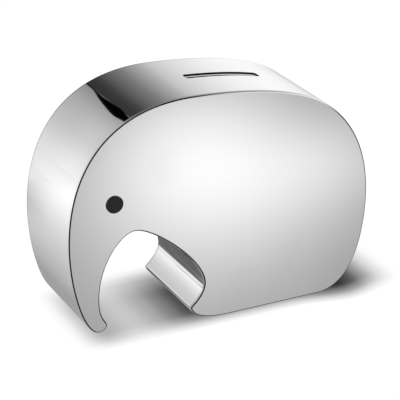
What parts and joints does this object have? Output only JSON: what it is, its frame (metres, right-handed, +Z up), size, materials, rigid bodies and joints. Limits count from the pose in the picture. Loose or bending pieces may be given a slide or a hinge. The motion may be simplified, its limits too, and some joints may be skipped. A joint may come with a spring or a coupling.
{
  "type": "animal-shaped coin bank",
  "caption": "Elephant-shaped coin bank: flat side plates joined by a bent metal band, with a coin slot in the back and a pull-out stopper in the base.",
  "frame": {"origin": "on the resting surface, under the middle of the length and of the width", "axes": "+X towards the rump, so the head faces -X; +Y towards the animal's right side; +Z up"},
  "size_m": [0.145, 0.0494, 0.106],
  "materials": {
    "polished_steel": "mirror polished",
    "drawn_steel": "as drawn, satin",
    "black_rubber": "moulded, matt",
    "eye_plastic": "gloss"
  },
  "bodies": {
    "bank": {"left_side_plate": "polished_steel", "right_side_plate": "polished_steel", "back_band": "polished_steel", "arch_band": "polished_steel", "stopper_seat": "drawn_steel", "left_eye": "eye_plastic", "right_eye": "eye_plastic", "left_eye_washer": "drawn_steel", "right_eye_washer": "drawn_steel"},
    "stopper": {"stopper": "black_rubber"}
  },
  "joints": [
    {"name": "stopper_pull", "type": "slide", "parent": "bank", "child": "stopper", "axis": [0, 0, -1], "range_m": [0, 0.03]}
  ]
}
